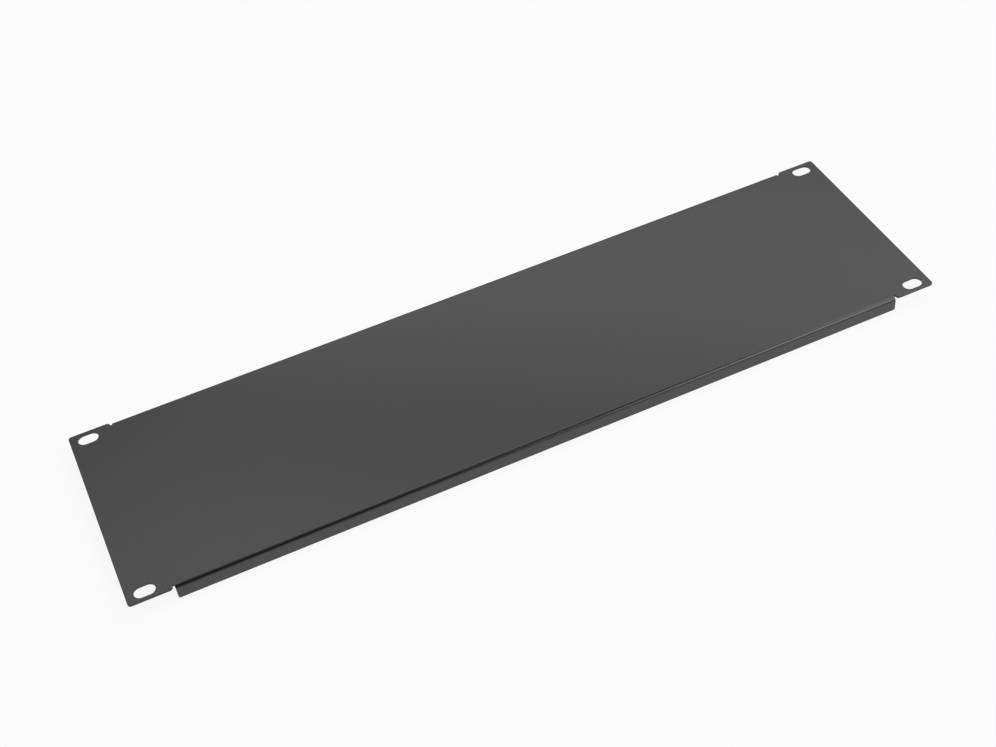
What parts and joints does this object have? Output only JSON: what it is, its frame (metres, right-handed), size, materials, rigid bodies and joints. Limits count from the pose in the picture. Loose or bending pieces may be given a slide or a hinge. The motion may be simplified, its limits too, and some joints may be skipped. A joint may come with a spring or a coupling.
{
  "type": "rack blanking panel",
  "caption": "Flat sheet-steel rack panel with both long edges folded back as shallow flanges, relief notches beside the mounting ears and an oblong fixing slot near each corner.",
  "frame": {"origin": "under the centre of the panel, level with the free edges of the two flanges, on which it rests face up", "axes": "+X along the panel's width, from the left end to the right end seen from the front; +Y up its height as it hangs in a rack; +Z out of its front face"},
  "size_m": [0.486, 0.1324, 0.009],
  "materials": {
    "powder_coat": "black powder coat, satin to matt, with a very fine texture"
  },
  "bodies": {
    "root": {"blanking_panel": "powder_coat"}
  },
  "joints": []
}
